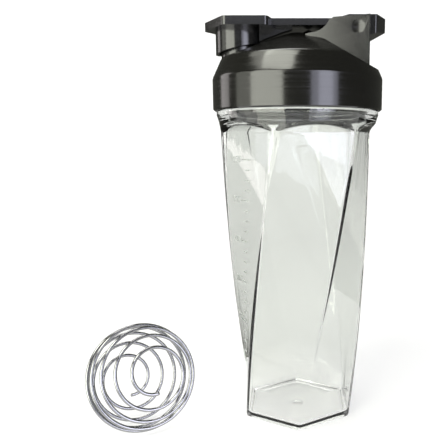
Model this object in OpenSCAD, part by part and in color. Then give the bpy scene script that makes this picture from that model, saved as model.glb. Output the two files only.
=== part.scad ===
// Protein shaker bottle: a clear twisted hexagonal cup, a screw lid with a flip
// cap over its spout, and a loose wire whisk ball that lies beside the cup.
// Millimetres, +Z up. The origin is on the cup's axis, on the surface it stands on.

/* [Cup] */
// Radius to the hexagon's corners at the base
cup_base_r = 36; // [34:0.5:38]
// Radius to the hexagon's corners under the collar
cup_top_r = 46; // [44.5:0.5:46.5]
// Height of the faceted part, up to the lowest points of the collar
cup_h = 172.6; // [150:0.2:190]
// How far the hexagon turns from base to collar, in degrees
cup_twist = 44; // [20:1:55]
// How much of the twist is moved towards the base
twist_ease = 0.34; // [0:0.02:0.5]
// Outer radius of the hexagon's corners
corner_r = 3.5; // [2:0.5:5]
// Thickness of the cup's wall
cup_wall = 2; // [1.6:0.1:2.6]
// Thickness of the cup's floor
cup_floor = 2.6; // [2:0.1:4]
// Height of the arches in which the facets end
arch_h = 5.9; // [4:0.1:7]
// Radius of the flange under the lid
flange_r = 48; // [47.5:0.1:49]

/* [Neck and thread] */
// Outer radius of the neck
neck_r = 45; // [44.5:0.1:45.2]
// Thickness of the neck's wall
neck_wall = 2.5; // [2:0.1:3]
// Height of the neck above the flange
neck_h = 15.8; // [14:0.1:16]
// Rise of the lid for one whole turn
thread_lead = 6; // [5:0.25:7]
// Radial height of the neck's thread
thread_h = 1.5; // [1:0.1:1.6]

/* [Lid] */
// Outer radius of the lid's band
lid_r = 50; // [49.8:0.1:52]
// Height of the band
band_h = 18.2; // [17:0.1:20]
// Radius of the edge between the shoulder and the dome
ring_r = 44.8; // [43:0.1:46]
// Height of that edge above the rim
ring_h = 29.3; // [28:0.1:32]
// Height of the dome's top above the rim
dome_h = 45.5; // [44:0.1:47]
// Thickness of the shell
lid_wall = 2.4; // [2:0.1:2.8]

/* [Spout] */
// Distance from the lid's axis to the spout's axis
spout_x = 34.5; // [33:0.5:36]
// Inner radius of the spout
spout_bore_r = 8; // [7:0.1:8.5]
// Thickness of the spout's wall
spout_wall = 2.3; // [1.8:0.1:2.4]

/* [Flip cap] */
// Height of the hinge pin's axis above the rim
pivot_h = 45.5; // [45:0.1:46]
// Distance from the lid's axis to the hinge pin's axis
pivot_x = 31; // [30.5:0.1:31.5]
// Radius of the hinge pin
pin_r = 2; // [1.8:0.1:2.2]
// Half width of the arm between the cheeks
arm_half_w = 14.2; // [13:0.1:14.2]
// Thickness of the cap's top plate
plate_t = 4.7; // [4:0.1:4.7]
// Half width of the cap's top plate
plate_half_w = 21.5; // [20:0.5:22]
// Outer radius of the skirt that covers the spout
skirt_r = 13.5; // [13.4:0.1:14]
// Radius that the tail sweeps round the pin, with its clearance
well_r = 21.9; // [21.7:0.1:22]

/* [Whisk ball] */
// Diameter of the ball
ball_d = 62; // [56:1:64]
// Diameter of the wire
wire_d = 2; // [1.6:0.1:2.2]
// Turns of the wire from one end loop to the other
ball_turns = 8; // [6:0.5:9]
// Latitude of the two end loops, in degrees
ball_end_lat = 70; // [60:1:74]

/* [Hidden] */
$fn = 96;

clear_tint = [0.84, 0.86, 0.83, 0.5];
lid_black = [0.1, 0.1, 0.11];
steel = [0.75, 0.76, 0.78];
silicone_grey = [0.32, 0.33, 0.34];

// Heights on the cup, from the surface it stands on
arch_top = cup_h + arch_h;
flange_z = cup_h + 10.2;
flange_top = flange_z + 2.4;
neck_top = flange_top + neck_h;
rim_z = flange_top + 0.3;

neck_in_r = neck_r - neck_wall;
// The faceted body stops short of the neck's bore, which a true tube forms
body_mouth_r = neck_in_r + 0.7;
base_bevel = 1;
inner_corner_r = max(corner_r - cup_wall, 1.5);

// ---------- twisted hexagonal cup ----------

cos30 = cos(30);

// Turn of the hexagon at height z
function turn_at(z) =
    let (s = min(z / cup_h, 1)) cup_twist * s * (1 + twist_ease * (1 - s));

// Distance to the hexagon's flats for corners of radius r at distance corner_d
function flat_dist(corner_d, r) = (corner_d - r) * cos30 + r;

// Distance to the flats at height z: a straight taper, then the arches' flare
function flat_at(z) =
    let (
        base = flat_dist(cup_base_r, corner_r),
        top = flat_dist(cup_top_r, corner_r),
        t = max(0, (z - cup_h) / arch_h),
        body = base + (top - base) * min(z / cup_h, 1)
    )
    body + (collar_at(z) - top) * t * t;

// Radius of the round collar that the facets run into at height z
function collar_at(z) =
    let (t = max(0, min(1, (z - cup_h) / (flange_z - cup_h))))
    cup_top_r + (flange_r - cup_top_r) * t * t;

// Radius of a rounded hexagon, d degrees from the middle of a corner
function hex_radius(flat, r, d) =
    let (
        centre = (flat - r) / cos30,
        arc_end = atan2(r * sin(30), centre + r * cos30)
    )
    abs(d) < arc_end
        ? centre * cos(d) + sqrt(r * r - pow(centre * sin(d), 2))
        : flat / cos(30 - abs(d));

// Angles of one sixth of a ring, closer together at the corner
sixth_steps = 5;
sixth = [for (j = [-sixth_steps:sixth_steps - 1]) let (u = j / sixth_steps) 30 * u * abs(u)];
ring_n = 6 * len(sixth);

function ring(z, flat, r, limit) = [
    for (k = [0:5], d = sixth)
        let (a = turn_at(z) + 60 * k + d, rad = min(hex_radius(flat, r, d), limit))
        [rad * sin(a), -rad * cos(a), z]
];

body_steps = 20;
outer_z = concat(
    [for (k = [0:body_steps]) base_bevel + (cup_h - base_bevel) * k / body_steps],
    [for (t = [0.3, 0.5, 0.7, 0.85, 1]) cup_h + arch_h * t],
    [(arch_top + flange_z) / 2, flange_z, flange_top]
);
inner_z = concat(
    [for (k = [0:body_steps]) cup_floor + (cup_h - cup_floor) * k / body_steps],
    [for (t = [0.5, 0.85, 1]) cup_h + arch_h * t],
    [flange_top]
);

function outer_ring(z) = ring(z, flat_at(z), corner_r, collar_at(z));
function inner_ring(z) = ring(z, flat_at(z) - cup_wall, inner_corner_r, body_mouth_r);

// Faces between rings of n points each
function skin_faces(n, rings) = [
    for (k = [0:rings - 2], j = [0:n - 1])
        let (
            j2 = (j + 1) % n,
            a = k * n + j,
            b = k * n + j2,
            c = (k + 1) * n + j2,
            d = (k + 1) * n + j
        )
        each [[a, c, b], [a, d, c]]
];

// A swept solid: the skin over its rings, with a flat face at each end
module swept(rings) {
    n = len(rings[0]);
    last = (len(rings) - 1) * n;
    polyhedron(
        [for (r = rings) each r],
        concat(
            [[for (j = [0:n - 1]) j]],
            skin_faces(n, len(rings)),
            [[for (j = [n - 1:-1:0]) last + j]]
        )
    );
}

module cup_body() {
    rings = concat(
        [ring(0, flat_at(0) - base_bevel, corner_r, flange_r)],
        [for (z = outer_z) outer_ring(z)],
        [for (k = [len(inner_z) - 1:-1:0]) inner_ring(inner_z[k])]
    );
    // Both ends close on a middle point, because their points lie on straight flats
    base_mid = len(rings) * ring_n;
    floor_mid = base_mid + 1;
    last = (len(rings) - 1) * ring_n;
    polyhedron(
        concat([for (r = rings) each r], [[0, 0, 0], [0, 0, cup_floor]]),
        concat(
            skin_faces(ring_n, len(rings)),
            [for (j = [0:ring_n - 1]) [base_mid, j, (j + 1) % ring_n]],
            [for (j = [0:ring_n - 1]) [floor_mid, last + (j + 1) % ring_n, last + j]]
        )
    );
}

// ---------- screw thread ----------

thread_root_w = 2.8;
thread_tip_w = 1.3;
thread_embed = 0.5;
ridge_step = 7.5;
// Sections over which a ridge grows to its full height, and how far grown the first is
taper_sections = 4;
taper_first = 0.6;
lid_bore_r = lid_r - 2.6;
lid_thread_r = neck_r + 0.5;
neck_thread_turns = 1.25;
lid_thread_turns = 1;
neck_thread_z = flange_top + 5.2;

// A helical ridge from root_r to tip_r, starting at height z and angle start
module thread_ridge(root_r, tip_r, z, start, turns) {
    steps = round(turns * 360 / ridge_step);
    outward = tip_r > root_r;
    sections = [
        for (k = [0:steps])
            let (
                a = start + ridge_step * k,
                zc = z + thread_lead * ridge_step * k / 360,
                grow = min(1, (min(k, steps - k) + taper_first) / taper_sections),
                tip = root_r + (tip_r - root_r) * grow,
                p = [
                    [root_r, zc - thread_root_w / 2],
                    [tip, zc - thread_tip_w / 2],
                    [tip, zc + thread_tip_w / 2],
                    [root_r, zc + thread_root_w / 2]
                ]
            )
            [for (j = [0:3]) let (q = p[outward ? 3 - j : j]) [q[0] * cos(a), q[0] * sin(a), q[1]]]
    ];
    swept(sections);
}

module bottle_cup() color(clear_tint) {
    // The neck's tube starts a little above the flange's underside, inside the collar
    foot = flange_z + 0.2;
    cup_body();
    translate([0, 0, foot])
        difference() {
            cylinder(r = neck_r, h = neck_top - foot);
            translate([0, 0, -1]) cylinder(r = neck_in_r, h = neck_top - foot + 2);
        }
    thread_ridge(neck_r - thread_embed, neck_r + thread_h, neck_thread_z, 0, neck_thread_turns);
}

// ---------- lid ----------

band_top = rim_z + band_h;
ring_z = rim_z + ring_h;
dome_top = rim_z + dome_h;
dome_round = 6;
dome_slope = (dome_top - ring_z) / (sqrt(ring_r * ring_r + dome_round * dome_round) - dome_round);
// The dome's back falls away in two flat roof planes either side of the hinge
roof_pitch = atan(0.55);
roof_roll = atan(0.2 * cos(roof_pitch));
roof_peak = rim_z + 50.8;
ledge_z = neck_top + 2.6;
ledge_t = 1.8;
ledge_r = 41.5;

function dome_z(r) = dome_top - dome_slope * (sqrt(r * r + dome_round * dome_round) - dome_round);

module roof_cut(drop) {
    half = 80;
    for (side = [-1, 1])
        translate([0, 0, roof_peak - drop])
            rotate([side * -roof_roll, roof_pitch, 0])
                translate([-half, -half, 0]) cube([2 * half, 2 * half, half]);
}

// Low hump beside the dome's top, which the hinge's foot grows out of
module hinge_hump() {
    hump_x = 9;
    hump_top = rim_z + 46.4;
    hump_fall = 9;
    flat_r = 4;
    foot_r = 20;
    translate([hump_x, 0, 0])
        rotate_extrude()
            polygon([
                [0, ring_z],
                [foot_r, ring_z],
                [foot_r, hump_top - hump_fall],
                [flat_r, hump_top],
                [0, hump_top]
            ]);
}

// The whole lid as a solid, from its rim up
module lid_envelope() {
    bevel = 0.8;
    band_edge = 0.5;
    ring_edge = 0.6;
    dome_steps = 9;
    dome_r = ring_r - ring_edge;
    difference() {
        rotate_extrude()
            polygon(concat(
                [[0, rim_z], [lid_r - bevel, rim_z], [lid_r, rim_z + bevel], [lid_r, band_top - band_edge]],
                [[lid_r - band_edge / 2, band_top + band_edge], [ring_r + ring_edge / 2, ring_z - ring_edge]],
                [for (k = [dome_steps:-1:0]) let (r = dome_r * k / dome_steps) [r, dome_z(r)]]
            ));
        roof_cut(0);
    }
    difference() {
        hinge_hump();
        roof_cut(0);
    }
}

module lid_cavity() {
    dome_steps = 7;
    roof_r = ring_r - 2.2;
    shoulder_r = lid_r - lid_wall - 1.6;
    above_ledge = ledge_z + ledge_t;
    above_shoulder = above_ledge + 0.6;
    difference() {
        rotate_extrude()
            polygon(concat(
                [[0, rim_z - 1], [lid_bore_r, rim_z - 1], [lid_bore_r, ledge_z], [ledge_r, ledge_z]],
                [[ledge_r, above_ledge], [shoulder_r, above_shoulder]],
                [for (k = [dome_steps:-1:0]) let (r = roof_r * k / dome_steps) [r, dome_z(r) - lid_wall]]
            ));
        roof_cut(lid_wall * 1.1);
    }
}

// Cheeks: two flared plates that stand on the dome and hold the hinge pin
pivot_z = rim_z + pivot_h;
cheek_end_x = 40.2;
cheek_top_x = 20;
cheek_foot_x = 4.5;
cheek_end_top = rim_z + 51.9;
cheek_mid_top = rim_z + 51.1;
cheek_corner = 1.4;
cheek_low = rim_z + 24;
// Half gap between the cheeks, and half widths over them at the foot and at the end
cheek_in = arm_half_w + 0.3;
out_foot = 12.8;
out_end = 19.9;
// The foot reaches in under the arm up to split_x, and stays below it
split_x = 23;
lap_x = 14;
foot_top = rim_z + 46.3;

// Half width over the cheeks at distance x from the lid's axis
function cheek_out(x) =
    out_foot + (out_end - out_foot) * (x - cheek_foot_x) / (cheek_end_x - cheek_foot_x);

function arc(cx, cz, r, from, to, n) =
    [for (k = [0:n]) let (a = from + (to - from) * k / n) [cx + r * cos(a), cz + r * sin(a)]];

module cheek_side() {
    curve_x = 7.5;
    curve_z = rim_z + 54.5;
    curve_r = 11.3;
    foot_z = rim_z + 42.6;
    polygon(concat(
        [[cheek_end_x, cheek_low], [cheek_end_x, cheek_end_top], [cheek_top_x, cheek_mid_top]],
        [[cheek_top_x - cheek_corner, cheek_mid_top - 1]],
        arc(curve_x, curve_z, curve_r, -23, -88, 8),
        [[cheek_foot_x, foot_z], [cheek_foot_x, cheek_low]]
    ));
}

// Shallow dimple that is left outside the end of the pin
module cheek_dimple() {
    dimple_r = 14;
    dimple_d = 0.3;
    translate([pivot_x, cheek_out(pivot_x) + dimple_r - dimple_d, pivot_z]) sphere(r = dimple_r);
}

// One cheek on the +Y side, thinner and closer to the axis at its foot
module cheek() {
    side_depth = 30;
    foot_t = 4;
    difference() {
        intersection() {
            rotate([90, 0, 0])
                translate([0, 0, -side_depth]) linear_extrude(side_depth) cheek_side();
            union() {
                translate([0, 0, cheek_low])
                    linear_extrude(2 * side_depth) polygon([
                        [lap_x, cheek_in],
                        [cheek_end_x, cheek_in],
                        [cheek_end_x, out_end],
                        [lap_x, cheek_out(lap_x)]
                    ]);
                translate([0, 0, cheek_low])
                    linear_extrude(foot_top - cheek_low) polygon([
                        [cheek_foot_x, out_foot - foot_t],
                        [split_x, cheek_in - foot_t / 2],
                        [split_x, cheek_out(split_x)],
                        [cheek_foot_x, out_foot]
                    ]);
            }
        }
        cheek_dimple();
    }
}

// The well between the cheeks that the cap's tail turns down into
well_left = 23.6;
well_half_w = arm_half_w + 0.5;
well_wall = 2;

module well(extra) {
    intersection() {
        translate([pivot_x, 0, pivot_z]) rotate([90, 0, 0])
            cylinder(r = well_r + extra, h = 2 * (well_half_w + extra), center = true);
        translate([well_left - extra, -lid_r, rim_z]) cube([lid_r, 2 * lid_r, 2 * dome_h]);
    }
}

spout_r = spout_bore_r + spout_wall;
spout_top = rim_z + 44.3;

module spout_outer() {
    lip = 0.9;
    foot = ring_z - 3;
    translate([-spout_x, 0, 0])
        rotate_extrude()
            polygon(concat(
                [[0, foot], [spout_r, foot]],
                arc(spout_r - lip, spout_top - lip, lip, 0, 90, 6),
                [[0, spout_top]]
            ));
}

// Shallow seat in the dome that the skirt's edge comes down into
module skirt_seat() {
    gap = 0.7;
    side_gap = 1;
    intersection() {
        translate([-spout_x, 0, ring_z]) cylinder(r = skirt_r + side_gap, h = dome_h);
        translate([-spout_x - skirt_r, 0, skirt_low - gap])
            rotate([0, -atan(skirt_slope), 0])
                translate([-skirt_r, -2 * skirt_r, 0]) cube(4 * skirt_r);
    }
}

pin_half_l = 16.5;

module lid_shell() color(lid_black) {
    bore_half_l = pin_half_l + 0.3;
    spout_floor = ledge_z + ledge_t + 4;
    difference() {
        union() {
            difference() {
                union() {
                    difference() {
                        lid_envelope();
                        skirt_seat();
                    }
                    spout_outer();
                    cheek();
                    mirror([0, 1, 0]) cheek();
                }
                lid_cavity();
            }
            intersection() {
                lid_envelope();
                well(well_wall);
            }
            thread_ridge(
                lid_bore_r + thread_embed, lid_thread_r,
                neck_thread_z - thread_lead / 2, 0, lid_thread_turns
            );
        }
        well(0);
        translate([-spout_x, 0, spout_floor]) cylinder(r = spout_bore_r, h = dome_h);
        translate([pivot_x, 0, pivot_z]) rotate([90, 0, 0])
            cylinder(r = pin_r, h = 2 * bore_half_l, center = true);
    }
}

module lid_gasket() color(silicone_grey) {
    thick = 2;
    gap = 0.3;
    translate([0, 0, neck_top + gap])
        difference() {
            cylinder(r = lid_bore_r - 0.5, h = thick);
            translate([0, 0, -1]) cylinder(r = ledge_r + gap, h = thick + 2);
        }
}

module hinge_pin() color(steel) {
    translate([pivot_x, 0, pivot_z]) rotate([90, 0, 0])
        cylinder(r = pin_r, h = 2 * pin_half_l, center = true);
}

// ---------- flip cap ----------

plate_top = rim_z + 50.7;
plate_low = plate_top - plate_t;
tail_top = rim_z + 52.9;
neck_under = plate_top - 3.6;
pin_clearance = 0.06;
skirt_in_r = skirt_r - 1.9;
skirt_low = rim_z + 32.5;
skirt_slope = 0.22;

// Points of a polygon with each corner [x, y, radius] rounded
function rounded(corners) = [
    for (i = [0:len(corners) - 1])
        let (
            n = len(corners),
            p = [corners[i][0], corners[i][1]],
            before = [corners[(i + n - 1) % n][0], corners[(i + n - 1) % n][1]],
            after = [corners[(i + 1) % n][0], corners[(i + 1) % n][1]],
            u = (before - p) / norm(before - p),
            v = (after - p) / norm(after - p),
            half = acos(u * v) / 2,
            bis = (u + v) / norm(u + v),
            r = corners[i][2],
            c = p + bis * r / sin(half),
            first = p + u * r / tan(half),
            last = p + v * r / tan(half),
            a0 = atan2(first[1] - c[1], first[0] - c[0]),
            sweep = atan2(last[1] - c[1], last[0] - c[0]) - a0,
            short = sweep > 180 ? sweep - 360 : sweep < -180 ? sweep + 360 : sweep
        )
        each [for (k = [0:4]) let (a = a0 + short * k / 4) [c[0] + r * cos(a), c[1] + r * sin(a)]]
];

module cap_plate() {
    tip_x = -54.8;
    front_x = -41.2;
    back_x = -16.6;
    throat_x = -14.6;
    in_arm_x = -10;
    outer_round = 3;
    back_round = 2.5;
    throat_round = 1;
    translate([0, 0, plate_low])
        linear_extrude(plate_t) polygon(rounded([
            [tip_x, 0, outer_round],
            [front_x, -plate_half_w, outer_round],
            [back_x, -plate_half_w, back_round],
            [throat_x, -arm_half_w, throat_round],
            [in_arm_x, 0, throat_round],
            [throat_x, arm_half_w, throat_round],
            [back_x, plate_half_w, back_round],
            [front_x, plate_half_w, outer_round]
        ]));
}

// Arm and tail, as the overlap of a side view and a top view
module cap_arm() {
    barrel_r = 6.3;
    // The side view: the arm starts in the plate, and its top ramps up to the tail's
    start_x = -20;
    ramp_x = 21;
    ramp_end_x = 29;
    barrel_x = 24;
    belly_x = 40.3;
    belly_z = rim_z + 41.6;
    tail_x = 51.6;
    tail_low = rim_z + 45.3;
    // The top view: the tail's end comes to a blunt point
    shoulder_x = 44.6;
    shoulder_round = 1.5;
    tip_round = 2;
    half_depth = 30;
    intersection() {
        rotate([90, 0, 0])
            translate([0, 0, -half_depth]) linear_extrude(2 * half_depth) polygon(concat(
                [[start_x, plate_top], [start_x, neck_under], [barrel_x, neck_under]],
                arc(pivot_x, pivot_z, barrel_r, 180, 300, 8),
                [[belly_x, belly_z], [tail_x, tail_low], [tail_x, tail_top]],
                [[ramp_end_x, tail_top], [ramp_x, plate_top]]
            ));
        translate([0, 0, rim_z])
            linear_extrude(2 * dome_h) polygon(rounded([
                [start_x - 1, -arm_half_w, 1],
                [shoulder_x, -arm_half_w, shoulder_round],
                [tail_x, 0, tip_round],
                [shoulder_x, arm_half_w, shoulder_round],
                [start_x - 1, arm_half_w, 1]
            ]));
    }
}

// Stiffening rib under the arm, which follows the dome's slope down to the skirt
module arm_rib() {
    rib_half_w = 8;
    dome_gap = 0.7;
    end_x = -3;
    start_x = skirt_r - 1 - spout_x;
    steps = 4;
    rotate([90, 0, 0])
        translate([0, 0, -rib_half_w]) linear_extrude(2 * rib_half_w) polygon(concat(
            [[end_x, neck_under + 1], [start_x, neck_under + 1]],
            [for (k = [0:steps]) let (x = start_x + (end_x - start_x) * k / steps) [x, dome_z(x) + dome_gap]]
        ));
}

module skirt() {
    deep = plate_low - skirt_low;
    cut = 4 * skirt_r;
    difference() {
        translate([-spout_x, 0, skirt_low]) cylinder(r = skirt_r, h = deep + 0.5);
        translate([-spout_x, 0, skirt_low - 1]) cylinder(r = skirt_in_r, h = deep + 1);
        translate([-spout_x - skirt_r, 0, skirt_low])
            rotate([0, -atan(skirt_slope), 0])
                translate([-skirt_r, -cut / 2, -cut]) cube(cut);
    }
}

seal_stud_r = 3;
seal_stud_h = 2;

module flip_cap() color(lid_black) {
    difference() {
        union() {
            cap_plate();
            cap_arm();
            arm_rib();
            skirt();
        }
        translate([-spout_x, 0, plate_low - 0.1]) cylinder(r = seal_stud_r, h = seal_stud_h + 0.1);
        translate([pivot_x, 0, pivot_z]) rotate([90, 0, 0])
            cylinder(r = pin_r + pin_clearance, h = 4 * arm_half_w, center = true);
    }
}

// Soft plug in the cap that closes the spout
module cap_seal() color(silicone_grey) {
    disc_t = 1.4;
    plug_h = 2;
    plug_tip_r = spout_bore_r - 0.8;
    plug_root_r = spout_bore_r - 0.4;
    translate([-spout_x, 0, plate_low - disc_t]) {
        cylinder(r = skirt_in_r - 0.3, h = disc_t);
        cylinder(r = seal_stud_r, h = disc_t + seal_stud_h);
        translate([0, 0, -plug_h]) cylinder(r1 = plug_tip_r, r2 = plug_root_r, h = plug_h + 0.1);
    }
}

// ---------- whisk ball ----------

ball_pos = [-92, -30, ball_d / 2];
// Turn and tilt of the ball's axis, from pointing forwards along -Y
ball_yaw = 34;
ball_pitch = 23;
ball_start = -90;
rings_per_turn = 24;
wire_sides = 8;

ball_rings = ball_turns * rings_per_turn;
wire_path_r = (ball_d - wire_d) / 2;

// The ball's axis and two directions square to it
ball_n = [sin(ball_yaw) * cos(ball_pitch), -cos(ball_yaw) * cos(ball_pitch), sin(ball_pitch)];
ball_e = [cos(ball_yaw), sin(ball_yaw), 0];
ball_u = cross(ball_e, ball_n) * -1;

// Point of the wire's centre line, s from 0 to 1 along the spiral
function ball_point(s) =
    let (lat = ball_end_lat * (1 - 2 * s), lon = ball_start - 360 * ball_turns * s)
    wire_path_r * (cos(lat) * (cos(lon) * ball_e + sin(lon) * ball_u) + sin(lat) * ball_n);

module whisk_ball() color(steel) {
    sections = [
        for (k = [0:ball_rings])
            let (
                s = k / ball_rings,
                p = ball_point(s),
                ahead = ball_point(s + 0.0005) - ball_point(s - 0.0005),
                t = ahead / norm(ahead),
                out = p / norm(p),
                side = cross(t, out)
            )
            [
                for (j = [0:wire_sides - 1])
                    let (a = 360 * j / wire_sides)
                    ball_pos + p + wire_d / 2 * (cos(a) * out + sin(a) * side)
            ]
    ];
    swept(sections);
}

bottle_cup();
lid_shell();
lid_gasket();
hinge_pin();
flip_cap();
cap_seal();
whisk_ball();
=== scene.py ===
import math

import bpy
import numpy as np
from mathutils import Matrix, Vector


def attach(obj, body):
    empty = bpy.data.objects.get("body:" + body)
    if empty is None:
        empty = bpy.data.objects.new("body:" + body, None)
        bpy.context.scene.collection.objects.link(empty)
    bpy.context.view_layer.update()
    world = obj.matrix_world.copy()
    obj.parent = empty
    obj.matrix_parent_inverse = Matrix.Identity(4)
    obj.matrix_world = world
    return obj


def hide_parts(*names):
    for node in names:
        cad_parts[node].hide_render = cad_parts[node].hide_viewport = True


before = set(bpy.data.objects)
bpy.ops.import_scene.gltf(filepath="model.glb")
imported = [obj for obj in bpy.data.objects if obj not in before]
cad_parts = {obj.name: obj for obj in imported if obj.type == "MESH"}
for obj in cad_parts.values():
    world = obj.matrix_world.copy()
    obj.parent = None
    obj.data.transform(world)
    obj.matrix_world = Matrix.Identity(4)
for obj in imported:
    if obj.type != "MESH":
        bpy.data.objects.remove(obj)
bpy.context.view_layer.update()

MM = 0.001
scene = bpy.context.scene

# ---------- sizes that the finer meshes share with the CAD, in millimetres ----------

CUP_BASE_R = 36
CUP_TOP_R = 46
CUP_H = 172.6
CUP_TWIST = 44
TWIST_EASE = 0.34
CORNER_R = 3.5
CUP_WALL = 2
CUP_FLOOR = 2.6
ARCH_H = 5.9
FLANGE_R = 48
FLANGE_Z = CUP_H + 10.2
FLANGE_TOP = FLANGE_Z + 2.4
NECK_R = 45
NECK_IN_R = 42.5
NECK_TOP = FLANGE_TOP + 15.8
THREAD_LEAD = 6
THREAD_H = 1.5
THREAD_Z = FLANGE_TOP + 5.2
THREAD_TURNS = 1.25
COS30 = math.cos(math.radians(30))


# ---------- node helpers ----------

def new_material(name):
    """A material with its Principled BSDF and its output; returns (material, nodes, links, bsdf)."""
    material = bpy.data.materials.new(name)
    material.use_nodes = True
    tree = material.node_tree
    return material, tree.nodes, tree.links, tree.nodes["Principled BSDF"]


def stretched_coords(nodes, links, scale):
    """Object coordinates in metres, scaled by a vector."""
    coords = nodes.new("ShaderNodeTexCoord")
    mapping = nodes.new("ShaderNodeMapping")
    mapping.inputs["Scale"].default_value = scale
    links.new(coords.outputs["Object"], mapping.inputs["Vector"])
    return mapping.outputs["Vector"]


def noise(nodes, links, vector, scale, detail=3.0, rough=0.5):
    node = nodes.new("ShaderNodeTexNoise")
    node.inputs["Scale"].default_value = scale
    node.inputs["Detail"].default_value = detail
    node.inputs["Roughness"].default_value = rough
    links.new(vector, node.inputs["Vector"])
    return node.outputs["Fac"]


def ramp(nodes, links, value, low, high, from_min=0.0, from_max=1.0):
    node = nodes.new("ShaderNodeMapRange")
    node.inputs["From Min"].default_value = from_min
    node.inputs["From Max"].default_value = from_max
    node.inputs["To Min"].default_value = low
    node.inputs["To Max"].default_value = high
    links.new(value, node.inputs["Value"])
    return node.outputs["Result"]


def colour_mix(nodes, links, value, first, second):
    node = nodes.new("ShaderNodeMix")
    node.data_type = "RGBA"
    node.inputs["A"].default_value = (*first, 1)
    node.inputs["B"].default_value = (*second, 1)
    links.new(value, node.inputs["Factor"])
    return node.outputs["Result"]


def bump(nodes, links, height, strength, distance, normal=None):
    node = nodes.new("ShaderNodeBump")
    node.inputs["Strength"].default_value = strength
    node.inputs["Distance"].default_value = distance
    links.new(height, node.inputs["Height"])
    if normal is not None:
        links.new(normal, node.inputs["Normal"])
    return node.outputs["Normal"]


# ---------- materials ----------

def clear_plastic():
    """Clear moulded copolyester: faint flow marks, a slight green-grey tint, and a paler colour near
    the base that is painted light, lifting the shade under the cup.
    """
    material, nodes, links, bsdf = new_material("clear_plastic")
    bsdf.inputs["Transmission Weight"].default_value = 1.0
    bsdf.inputs["IOR"].default_value = 1.5
    flow = noise(nodes, links, stretched_coords(nodes, links, (1, 1, 0.3)), 38, 2)
    tint = colour_mix(nodes, links, flow, (0.775, 0.79, 0.767), (0.83, 0.841, 0.822))
    height = nodes.new("ShaderNodeSeparateXYZ")
    links.new(stretched_coords(nodes, links, (1, 1, 1)), height.inputs["Vector"])
    # Painted light: a near-white colour at the base fades into the tint by 30 mm up, lightening the
    # shade under the cup's bottom
    base_painted_light = nodes.new("ShaderNodeMix")
    base_painted_light.data_type = "RGBA"
    above_painted_light = ramp(nodes, links, height.outputs["Z"], 0, 1, 0.004, 0.03)
    links.new(above_painted_light, base_painted_light.inputs["Factor"])
    base_painted_light.inputs["A"].default_value = (0.97, 0.975, 0.96, 1)
    links.new(tint, base_painted_light.inputs["B"])
    links.new(base_painted_light.outputs["Result"], bsdf.inputs["Base Color"])
    haze = noise(nodes, links, stretched_coords(nodes, links, (1, 1, 1)), 160, 4)
    links.new(ramp(nodes, links, haze, 0.005, 0.03, 0.35, 0.7), bsdf.inputs["Roughness"])
    waves = noise(nodes, links, stretched_coords(nodes, links, (1, 1, 0.25)), 55, 2)
    links.new(bump(nodes, links, waves, 0.25, 0.0006), bsdf.inputs["Normal"])
    return material


def frosted_mark():
    """The raised graduations: the cup's plastic with a fine matt grain."""
    material, nodes, links, bsdf = new_material("frosted_mark")
    bsdf.inputs["Transmission Weight"].default_value = 0.85
    bsdf.inputs["IOR"].default_value = 1.5
    grain = noise(nodes, links, stretched_coords(nodes, links, (1, 1, 1)), 2500, 2)
    tint = colour_mix(nodes, links, grain, (0.74, 0.76, 0.74), (0.84, 0.86, 0.84))
    links.new(tint, bsdf.inputs["Base Color"])
    links.new(ramp(nodes, links, grain, 0.28, 0.5), bsdf.inputs["Roughness"])
    links.new(bump(nodes, links, grain, 0.3, 0.0001), bsdf.inputs["Normal"])
    return material


def black_plastic(name, satin_r):
    """Black ABS: satin within satin_r metres of the axis, polished with fine turned streaks outside."""
    material, nodes, links, bsdf = new_material(name)
    bsdf.inputs["IOR"].default_value = 1.65
    cloud = noise(nodes, links, stretched_coords(nodes, links, (1, 1, 1)), 60, 4)
    tint = colour_mix(nodes, links, cloud, (0.004, 0.004, 0.0035), (0.008, 0.008, 0.0065))
    links.new(tint, bsdf.inputs["Base Color"])
    from_axis = nodes.new("ShaderNodeVectorMath")
    from_axis.operation = "LENGTH"
    links.new(stretched_coords(nodes, links, (1, 1, 0)), from_axis.inputs[0])
    blend = 0.0002
    turned = ramp(nodes, links, from_axis.outputs["Value"], 0, 1, satin_r - blend, satin_r + blend)
    streaks = noise(nodes, links, stretched_coords(nodes, links, (5, 5, 1400)), 1.0, 3, 0.6)
    fine = noise(nodes, links, stretched_coords(nodes, links, (1, 1, 1)), 900, 3)
    polished = ramp(nodes, links, streaks, 0.1, 0.24, 0.35, 0.7)
    satin = ramp(nodes, links, fine, 0.19, 0.25, 0.35, 0.7)
    finish = nodes.new("ShaderNodeMix")
    links.new(turned, finish.inputs["Factor"])
    links.new(satin, finish.inputs["A"])
    links.new(polished, finish.inputs["B"])
    links.new(finish.outputs["Result"], bsdf.inputs["Roughness"])
    depth = nodes.new("ShaderNodeMath")
    depth.operation = "MULTIPLY"
    links.new(turned, depth.inputs[0])
    links.new(streaks, depth.inputs[1])
    first = bump(nodes, links, fine, 0.08, 0.00005)
    links.new(bump(nodes, links, depth.outputs["Value"], 0.2, 0.0001, first), bsdf.inputs["Normal"])
    return material


def gloss_black():
    """The cap's polished black ABS, with a faint moulded ripple."""
    material, nodes, links, bsdf = new_material("cap_black")
    bsdf.inputs["IOR"].default_value = 1.65
    cloud = noise(nodes, links, stretched_coords(nodes, links, (1, 1, 1)), 70, 4)
    tint = colour_mix(nodes, links, cloud, (0.006, 0.006, 0.006), (0.012, 0.012, 0.012))
    links.new(tint, bsdf.inputs["Base Color"])
    fine = noise(nodes, links, stretched_coords(nodes, links, (1, 1, 1)), 700, 3)
    links.new(ramp(nodes, links, fine, 0.12, 0.2, 0.35, 0.7), bsdf.inputs["Roughness"])
    links.new(bump(nodes, links, fine, 0.1, 0.00006), bsdf.inputs["Normal"])
    return material


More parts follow.
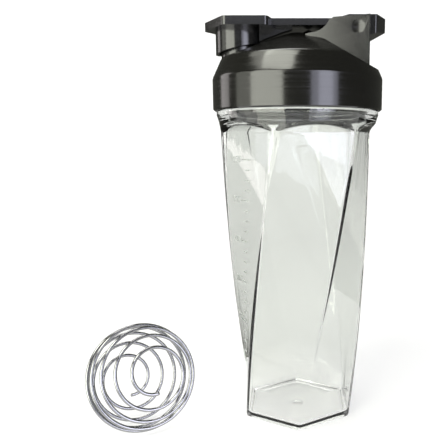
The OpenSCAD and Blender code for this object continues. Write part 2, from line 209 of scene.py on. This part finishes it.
def silicone():
    material, nodes, links, bsdf = new_material("silicone")
    grain = noise(nodes, links, stretched_coords(nodes, links, (1, 1, 1)), 900, 4)
    tint = colour_mix(nodes, links, grain, (0.06, 0.062, 0.065), (0.09, 0.092, 0.095))
    links.new(tint, bsdf.inputs["Base Color"])
    links.new(ramp(nodes, links, grain, 0.5, 0.7), bsdf.inputs["Roughness"])
    links.new(bump(nodes, links, grain, 0.3, 0.0001), bsdf.inputs["Normal"])
    return material


def steel(name, rough_low, rough_high):
    """Polished stainless wire with fine drawing marks."""
    material, nodes, links, bsdf = new_material(name)
    bsdf.inputs["Metallic"].default_value = 1.0
    blotch = noise(nodes, links, stretched_coords(nodes, links, (1, 1, 1)), 320, 5)
    tint = colour_mix(nodes, links, blotch, (0.28, 0.28, 0.29), (0.42, 0.42, 0.43))
    links.new(tint, bsdf.inputs["Base Color"])
    drawn = noise(nodes, links, stretched_coords(nodes, links, (1, 1, 1)), 1800, 4, 0.6)
    links.new(ramp(nodes, links, drawn, rough_low, rough_high, 0.3, 0.7), bsdf.inputs["Roughness"])
    links.new(bump(nodes, links, drawn, 0.15, 0.00005), bsdf.inputs["Normal"])
    return material


def pale_paper():
    """Pale studio paper, lit a little from behind."""
    material, nodes, links, bsdf = new_material("pale_paper")
    fibre = noise(nodes, links, stretched_coords(nodes, links, (1, 1, 1)), 300, 4)
    tint = colour_mix(nodes, links, fibre, (0.41, 0.41, 0.412), (0.43, 0.43, 0.432))
    links.new(tint, bsdf.inputs["Base Color"])
    bsdf.inputs["Roughness"].default_value = 0.9
    bsdf.inputs["Specular IOR Level"].default_value = 0.1
    bsdf.inputs["Emission Color"].default_value = (1, 1, 1, 1)
    bsdf.inputs["Emission Strength"].default_value = 0.6
    return material


CLEAR = clear_plastic()
FROSTED = frosted_mark()
LID_BLACK = black_plastic("lid_black", 0.044)
CAP_BLACK = gloss_black()
SILICONE = silicone()
WHISK_STEEL = steel("whisk_steel", 0.06, 0.2)
PIN_STEEL = steel("pin_steel_ground", 0.2, 0.35)
PAPER = pale_paper()


# ---------- mesh helpers ----------

def mesh_object(name, points, faces, material, smooth=True):
    """A mesh object from points in millimetres."""
    mesh = bpy.data.meshes.new(name)
    mesh.from_pydata([tuple(p) for p in np.asarray(points) * MM], [], faces)
    mesh.validate()
    mesh.update()
    mesh.materials.append(material)
    if smooth:
        mesh.shade_smooth()
    piece = bpy.data.objects.new(name, mesh)
    scene.collection.objects.link(piece)
    return piece


def skin(rings):
    """Points and faces of a skin over rings of equal length, closed by a fan at each end."""
    rings = [np.asarray(r, float) for r in rings]
    count = len(rings[0])
    first_middle = len(rings) * count
    last_middle = first_middle + 1
    last = first_middle - count
    points = np.concatenate([*rings, [rings[0].mean(0)], [rings[-1].mean(0)]])
    faces = []
    for k in range(len(rings) - 1):
        for j in range(count):
            j2 = (j + 1) % count
            faces.append((k * count + j, k * count + j2, (k + 1) * count + j2, (k + 1) * count + j))
    faces += [(first_middle, (j + 1) % count, j) for j in range(count)]
    faces += [(last_middle, last + j, last + (j + 1) % count) for j in range(count)]
    return points, faces


# ---------- cup ----------

def turn_at(z):
    s = min(z / CUP_H, 1)
    return CUP_TWIST * s * (1 + TWIST_EASE * (1 - s))


def flat_dist(corner_d, r):
    return (corner_d - r) * COS30 + r


def collar_at(z):
    t = max(0, min(1, (z - CUP_H) / (FLANGE_Z - CUP_H)))
    return CUP_TOP_R + (FLANGE_R - CUP_TOP_R) * t * t


def flat_at(z):
    base = flat_dist(CUP_BASE_R, CORNER_R)
    top = flat_dist(CUP_TOP_R, CORNER_R)
    t = max(0, (z - CUP_H) / ARCH_H)
    return base + (top - base) * min(max(z, 0) / CUP_H, 1) + (collar_at(z) - top) * t * t


def hex_radius(flat, r, d):
    """Radius of a rounded hexagon, d degrees from the middle of a corner."""
    centre = (flat - r) / COS30
    arc_end = math.degrees(math.atan2(r * 0.5, centre + r * COS30))
    if abs(d) < arc_end:
        side = centre * math.sin(math.radians(d))
        return centre * math.cos(math.radians(d)) + math.sqrt(r * r - side * side)
    return flat / math.cos(math.radians(30 - abs(d)))


def soft_min(a, b, k):
    """The smaller of two radii, with a fillet of about k where they cross."""
    m = min(a, b)
    return m - k * math.log(math.exp((m - a) / k) + math.exp((m - b) / k))


# Fillet where the facets run into the round collar
EDGE_FILLET = 0.12
# Inside fillet between the cup's floor and its wall
FLOOR_FILLET = 2.2
# Degrees from a corner for the points of each sixth of a ring, closest together at the corner
SIXTH_STEPS = 14
SIXTH = [30 * u * abs(u) for u in np.arange(-SIXTH_STEPS, SIXTH_STEPS) / SIXTH_STEPS]
RING_ANGLES = [(60 * k, d) for k in range(6) for d in SIXTH]


def ring(z, radius_at):
    """One ring of the cup: radius_at(d, a) gives the radius d degrees from a corner, at angle a."""
    turn = turn_at(max(z, 0))
    points = []
    for corner, d in RING_ANGLES:
        a = math.radians(turn + corner + d)
        rad = radius_at(d, a)
        points.append((rad * math.sin(a), -rad * math.cos(a), z))
    return points


def outer_ring(z):
    flat, collar = flat_at(z), collar_at(z)
    if z < CUP_H:
        return ring(z, lambda d, a: hex_radius(flat, CORNER_R, d))
    return ring(z, lambda d, a: soft_min(hex_radius(flat, CORNER_R, d), collar, EDGE_FILLET))


def inner_ring(z):
    fillet = FLOOR_FILLET
    rise = z - CUP_FLOOR
    pull = fillet - math.sqrt(fillet ** 2 - (fillet - rise) ** 2) if rise < fillet else 0
    flat = flat_at(z) - CUP_WALL - pull
    corner = max(CORNER_R - CUP_WALL, 1.5)
    return ring(z, lambda d, a: soft_min(hex_radius(flat, corner, d), NECK_IN_R, EDGE_FILLET))


def hexagon_ring(z, flat, corner):
    return ring(z, lambda d, a: hex_radius(flat, corner, d))


def circle_ring(z, r):
    return ring(z, lambda d, a: r)


def thread_height(z, a):
    """Height of the neck's helical ridge at height z and angle a."""
    root, tip = 1.4, 0.65
    start = math.degrees(a) - 90
    best = 0
    for turn in (0, 1):
        angle = start % 360 + 360 * turn
        if angle <= 360 * THREAD_TURNS:
            off = abs(z - THREAD_Z - THREAD_LEAD * angle / 360)
            grow = min(1, (angle + 5) / 25, (360 * THREAD_TURNS - angle + 5) / 25)
            best = max(best, THREAD_H * grow * min(1, max(0, (root - off) / (root - tip))))
    return best


def underside_rings(base_flat):
    """The gate mark, the recess and the foot that the cup stands on, from the middle outwards."""
    recess, gate_depth, soft_r = 0.8, 0.1, 3
    gate = recess - gate_depth
    foot_in = base_flat - 2.4
    rings = [circle_ring(gate, 0.8), circle_ring(gate, 1.4), circle_ring(recess, 1.9)]
    rings += [circle_ring(recess, r) for r in (10, 18)]
    rings.append(hexagon_ring(recess, foot_in - 1.5, soft_r))
    rings.append(hexagon_ring(recess * 0.6, foot_in - 0.6, soft_r))
    rings.append(hexagon_ring(0.05, foot_in, soft_r))
    rings.append(hexagon_ring(0, foot_in + 0.4, soft_r))
    return rings


def outside_rings(base_flat):
    """The base's bevel, the facets and their arches, the flange and the threaded neck, upwards."""
    bevel, flange_round = 1.0, 0.5
    rings = []
    for k in range(7):
        a = math.radians(90 * k / 6)
        flat = base_flat - bevel * (1 - math.sin(a))
        rings.append(hexagon_ring(bevel * (1 - math.cos(a)), flat, CORNER_R))
    rings += [outer_ring(z) for z in np.linspace(bevel + 1, CUP_H - 1.5, 96)]
    rings += [outer_ring(z) for z in np.linspace(CUP_H - 1, FLANGE_Z, 40)]
    for k in range(5):
        a = math.radians(90 * k / 4)
        z = FLANGE_TOP - flange_round + flange_round * math.sin(a)
        rings.append(circle_ring(z, FLANGE_R - flange_round * (1 - math.cos(a))))
    rings.append(circle_ring(FLANGE_TOP, NECK_R + 0.5))
    rings.append(circle_ring(FLANGE_TOP + 0.4, NECK_R))
    for z in np.arange(FLANGE_TOP + 0.8, NECK_TOP - 0.7, 0.25):
        rings.append(ring(z, lambda d, a, z=z: NECK_R + thread_height(z, a)))
    return rings


def lip_rings():
    """The neck's rounded lip, from outside to inside."""
    lip, squash = (NECK_R - NECK_IN_R) / 2, 0.5
    rings = []
    for k in range(9):
        a = math.radians(180 * k / 8)
        z = NECK_TOP - lip * squash * (1 - math.sin(a))
        rings.append(circle_ring(z, NECK_IN_R + lip + lip * math.cos(a)))
    return rings


def inside_rings():
    """The mouth, the inner wall, the fillet and the floor, downwards and in to the middle."""
    rings = [circle_ring(z, NECK_IN_R) for z in np.linspace(NECK_TOP - 1, FLANGE_Z + 1, 8)]
    rings += [inner_ring(z) for z in np.linspace(FLANGE_Z, CUP_H - 1, 40)]
    rings += [inner_ring(z) for z in np.linspace(CUP_H - 1.5, CUP_FLOOR + 2.4, 80)]
    for k in range(1, 9):
        a = math.radians(90 * k / 8)
        rings.append(inner_ring(CUP_FLOOR + FLOOR_FILLET * (1 - math.sin(a)) + 0.001))
    floor_flat = flat_at(CUP_FLOOR) - CUP_WALL - FLOOR_FILLET
    rings += [hexagon_ring(CUP_FLOOR, floor_flat - inset, 3) for inset in (1.5, 6)]
    rings += [circle_ring(CUP_FLOOR, r) for r in (18, 10, 2)]
    return rings


def cup():
    base_flat = flat_at(0)
    rings = underside_rings(base_flat) + outside_rings(base_flat) + lip_rings() + inside_rings()
    points, faces = skin(rings)
    return mesh_object("clear_cup", points, faces, CLEAR)


def on_facet(z, across, out):
    """A point on the facet with the graduations: across along it, out from its surface."""
    a = math.radians(turn_at(z) - 90)
    flat = flat_at(z) + out
    normal = (math.sin(a), -math.cos(a))
    along = (math.cos(a), math.sin(a))
    return (normal[0] * flat + along[0] * across, normal[1] * flat + along[1] * across, z)


def raised_slab(outline_mesh, across, z, height):
    """Points and faces of a flat triangulated outline, raised off the facet by height."""
    flat_points, triangles = outline_mesh
    count = len(flat_points)
    gap = 0.03
    points = [on_facet(z + y, across + x, gap + height) for x, y in flat_points]
    points += [on_facet(z + y, across + x, gap) for x, y in flat_points]
    faces = [tuple(t) for t in triangles] + [tuple(count + i for i in reversed(t)) for t in triangles]
    edges = {}
    for t in triangles:
        for i in range(len(t)):
            edges[(t[i], t[(i + 1) % len(t)])] = True
    for a, b in edges:
        if (b, a) not in edges:
            faces.append((b, a, count + a, count + b))
    return points, faces


def numeral_outline(text, size):
    """The triangulated flat outline of a number, in millimetres."""
    curve = bpy.data.curves.new("numeral", "FONT")
    curve.body = text
    curve.size = size
    curve.align_x = "RIGHT"
    curve.align_y = "CENTER"
    curve.resolution_u = 3
    holder = bpy.data.objects.new("numeral", curve)
    scene.collection.objects.link(holder)
    mesh = bpy.data.meshes.new_from_object(holder.evaluated_get(bpy.context.evaluated_depsgraph_get()))
    points = [(v.co.x, v.co.y) for v in mesh.vertices]
    triangles = [tuple(p.vertices) for p in mesh.polygons]
    bpy.data.objects.remove(holder)
    bpy.data.curves.remove(curve)
    bpy.data.meshes.remove(mesh)
    return points, triangles


def bar_outline(w, h):
    return [(-w / 2, -h / 2), (w / 2, -h / 2), (w / 2, h / 2), (-w / 2, h / 2)], [(0, 1, 2, 3)]


def graduations():
    """Raised volume marks: a long tick and a number for each 100 ml, short ticks between."""
    long_tick, long_x = bar_outline(7.5, 0.8), 1.5
    short_tick, short_x = bar_outline(3.6, 0.7), 3.4
    number_size, number_x = 5.2, -3.5
    raised = 0.3
    points, faces = [], []

    def add(outline, across, z):
        offset = len(points)
        slab_points, slab_faces = raised_slab(outline, across, z, raised)
        points.extend(slab_points)
        faces.extend(tuple(offset + i for i in f) for f in slab_faces)

    # 100 ml takes first_rise millimetres of height, and less by shrink at each mark as the cup widens
    first_z, first_rise, shrink, last = 33, 27.5, 0.85, 6
    z = first_z
    for mark in range(1, last + 1):
        add(long_tick, long_x, z)
        add(numeral_outline(str(100 * mark), number_size), number_x, z)
        rise = first_rise - shrink * mark
        if mark < last:
            for share in (0.25, 0.5, 0.75):
                add(short_tick, short_x, z + rise * share)
        z += rise
    return mesh_object("graduations", points, faces, FROSTED, smooth=False)


cup_piece = cup()
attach(cup_piece, "bottle")
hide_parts("bottle_cup")
marks = graduations()
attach(marks, "bottle")


# ---------- whisk ball ----------

BALL_D = 62
WIRE_D = 2
BALL_TURNS = 8
BALL_END_LAT = 70
BALL_POS = np.array([-92, -30, BALL_D / 2])
BALL_START = -90
# The wire winds about an axis turned from the front by the yaw and raised by the pitch
BALL_YAW = math.radians(34)
BALL_PITCH = math.radians(23)
BALL_LEVEL = math.cos(BALL_PITCH)
BALL_N = np.array([
    math.sin(BALL_YAW) * BALL_LEVEL,
    -math.cos(BALL_YAW) * BALL_LEVEL,
    math.sin(BALL_PITCH),
])
BALL_E = np.array([math.cos(BALL_YAW), math.sin(BALL_YAW), 0])
BALL_U = -np.cross(BALL_E, BALL_N)


def ball_point(s):
    """The wire's middle line from the ball's centre, s from 0 to 1 along it."""
    lat = math.radians(BALL_END_LAT * (1 - 2 * s))
    lon = math.radians(BALL_START - 360 * BALL_TURNS * s)
    flat = math.cos(lon) * BALL_E + math.sin(lon) * BALL_U
    return (BALL_D - WIRE_D) / 2 * (math.cos(lat) * flat + math.sin(lat) * BALL_N)


def wire_ring(s, shift, r):
    """A ring round the wire at s, moved by shift along the wire."""
    sides, near = 16, 0.0005
    p = ball_point(s)
    t = ball_point(s + near) - ball_point(s - near)
    t /= np.linalg.norm(t)
    out = p / np.linalg.norm(p)
    side = np.cross(t, out)
    angles = 2 * math.pi * np.arange(sides) / sides
    centre = BALL_POS + p + t * shift
    return centre + r * (np.cos(angles)[:, None] * out + np.sin(angles)[:, None] * side)


def whisk():
    per_turn, end_steps, end_squash = 80, 4, 0.4
    half = WIRE_D / 2
    count = BALL_TURNS * per_turn
    end_angles = [math.radians(90 * k / end_steps) for k in range(1, end_steps)]
    rings = [wire_ring(0, -half * math.cos(a) * end_squash, half * math.sin(a)) for a in end_angles]
    rings += [wire_ring(k / count, 0, half) for k in range(count + 1)]
    end_angles.reverse()
    rings += [wire_ring(1, half * math.cos(a) * end_squash, half * math.sin(a)) for a in end_angles]
    points, faces = skin(rings)
    return mesh_object("whisk_wire", points, faces, WHISK_STEEL)


ball = whisk()
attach(ball, "whisk_ball")
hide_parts("whisk_ball")


# ---------- lid and cap: the CAD's own solids with rounded edges ----------

def dress(node, material, edge_mm=0.0):
    """Gives a CAD node its material, and rounds its sharp edges by edge_mm."""
    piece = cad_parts[node]
    piece.data.materials.clear()
    piece.data.materials.append(material)
    if edge_mm:
        weld = piece.modifiers.new("weld", "WELD")
        weld.merge_threshold = 0.002 * MM
        edge = piece.modifiers.new("edge", "BEVEL")
        edge.width = edge_mm * MM
        edge.segments = 3
        edge.limit_method = "ANGLE"
        edge.angle_limit = math.radians(32)
        edge.use_clamp_overlap = True
        flatter = piece.modifiers.new("flatter", "WEIGHTED_NORMAL")
        flatter.mode = "FACE_AREA_WITH_ANGLE"
        flatter.weight = 50


dress("lid_shell", LID_BLACK, 0.35)
dress("flip_cap", CAP_BLACK, 0.45)
dress("lid_gasket", SILICONE)
dress("cap_seal", SILICONE)
dress("hinge_pin", PIN_STEEL)


# ---------- studio ----------

def sheet(name, profile, half):
    """A sheet of paper from a side view of (y, z) points, 2 * half wide."""
    points = [(x, y, z) for y, z in profile for x in (-half, half)]
    faces = [(2 * k, 2 * k + 1, 2 * k + 3, 2 * k + 2) for k in range(len(profile) - 1)]
    piece = mesh_object(name, points, faces, PAPER)
    return piece


def studio_paper():
    """A pale floor; the sheet behind the object curves up and is left out of reflections."""
    half, front, split, back, curve, top = 2600, -2600, 70, 900, 300, 1500
    seam = back - curve
    sheet("paper_front", [(front, 0), (-900, 0), (split, 0)], half)
    profile = [(split, 0), (seam, 0)]
    for k in range(1, 13):
        a = math.radians(90 * k / 12)
        profile.append((seam + curve * math.sin(a), curve * (1 - math.cos(a))))
    profile.append((back, top))
    rear = sheet("paper_rear", profile, half)
    rear.visible_glossy = False


def softbox(name, azimuth, elevation, distance, width, height, radiance, tint, upright=False):
    """A rectangular light: azimuth from the front towards +X, radiance as seen in a mirror."""
    light = bpy.data.lights.new(name, "AREA")
    light.shape = "RECTANGLE"
    light.size = width
    light.size_y = height
    light.energy = radiance * math.pi * width * height
    light.color = tint
    lamp = bpy.data.objects.new(name, light)
    scene.collection.objects.link(lamp)
    a, e = math.radians(azimuth), math.radians(elevation)
    aim = Vector((0, 0, 0.15))
    level = math.cos(e)
    lamp.location = aim + distance * Vector((math.sin(a) * level, -math.cos(a) * level, math.sin(e)))
    face = aim - lamp.location
    if upright:
        face.z = 0
    lamp.rotation_euler = face.to_track_quat("-Z", "Y").to_euler()
    lamp.visible_camera = False


def world_glow():
    """Pale where it is seen directly or through the cup, and dim as a source of light."""
    world = bpy.data.worlds.new("studio")
    scene.world = world
    world.use_nodes = True
    nodes, links = world.node_tree.nodes, world.node_tree.links
    coords = nodes.new("ShaderNodeTexCoord")
    split = nodes.new("ShaderNodeSeparateXYZ")
    links.new(coords.outputs["Generated"], split.inputs["Vector"])
    level_glow, overhead_glow = 0.09, 0.07
    level = ramp(nodes, links, split.outputs["Z"], level_glow, overhead_glow, 0.0, 0.45)
    dim = nodes["Background"]
    links.new(level, dim.inputs["Strength"])
    dim.inputs["Color"].default_value = (1.0, 1.0, 0.88, 1)
    pale = nodes.new("ShaderNodeBackground")
    pale.inputs["Color"].default_value = (1.0, 1.0, 0.99, 1)
    pale.inputs["Strength"].default_value = 1.02
    path = nodes.new("ShaderNodeLightPath")
    seen = nodes.new("ShaderNodeMath")
    seen.operation = "MAXIMUM"
    links.new(path.outputs["Is Camera Ray"], seen.inputs[0])
    links.new(path.outputs["Is Transmission Ray"], seen.inputs[1])
    choose = nodes.new("ShaderNodeMixShader")
    links.new(seen.outputs["Value"], choose.inputs["Fac"])
    links.new(dim.outputs["Background"], choose.inputs[1])
    links.new(pale.outputs["Background"], choose.inputs[2])
    links.new(choose.outputs["Shader"], nodes["World Output"].inputs["Surface"])


studio_paper()
world_glow()
WARM = (1.0, 0.95, 0.94)
STRAW = (0.985, 1.0, 0.89)
LILAC = (0.83, 0.845, 1.0)
WHITE = (1.0, 1.0, 0.96)
softbox("key_left", -40, 18, 1.1, 0.84, 1.0, 5.0, STRAW, upright=True)
softbox("key_edge", -74, 14, 1.1, 0.4, 0.8, 1.3, STRAW, upright=True)
softbox("key_high", -36, 60, 1.1, 0.62, 0.42, 6.5, STRAW)
softbox("key_high_edge", -76, 58, 1.1, 0.4, 0.42, 2.4, STRAW)
softbox("fill_right", 34.5, 14, 1.1, 0.68, 0.75, 2.6, LILAC, upright=True)
softbox("fill_core", 36, 14, 1.0, 0.32, 0.7, 2.4, LILAC, upright=True)
softbox("front_dim", -3, 18, 1.1, 0.42, 0.11, 0.9, LILAC)
softbox("strip_left", -109, 12, 1.1, 0.36, 0.7, 2.0, WARM, upright=True)
softbox("top", -147, 73, 1.2, 0.6, 0.45, 6.0, WHITE)

# The camera stands close in front, near the collar's height; the shift moves the bottle to the right
CAMERA_PLACE = (0, -0.335, 0.1686)
CAMERA_TILT = 8.71
camera_data = bpy.data.cameras.new("camera")
camera = bpy.data.objects.new("camera", camera_data)
scene.collection.objects.link(camera)
camera.location = CAMERA_PLACE
camera.rotation_euler = (math.radians(90 - CAMERA_TILT), 0, 0)
camera_data.lens = 44.0
camera_data.sensor_width = 36
camera_data.shift_x = -0.164
camera_data.clip_start = 0.01
scene.camera = camera
scene.view_settings.view_transform = "Standard"
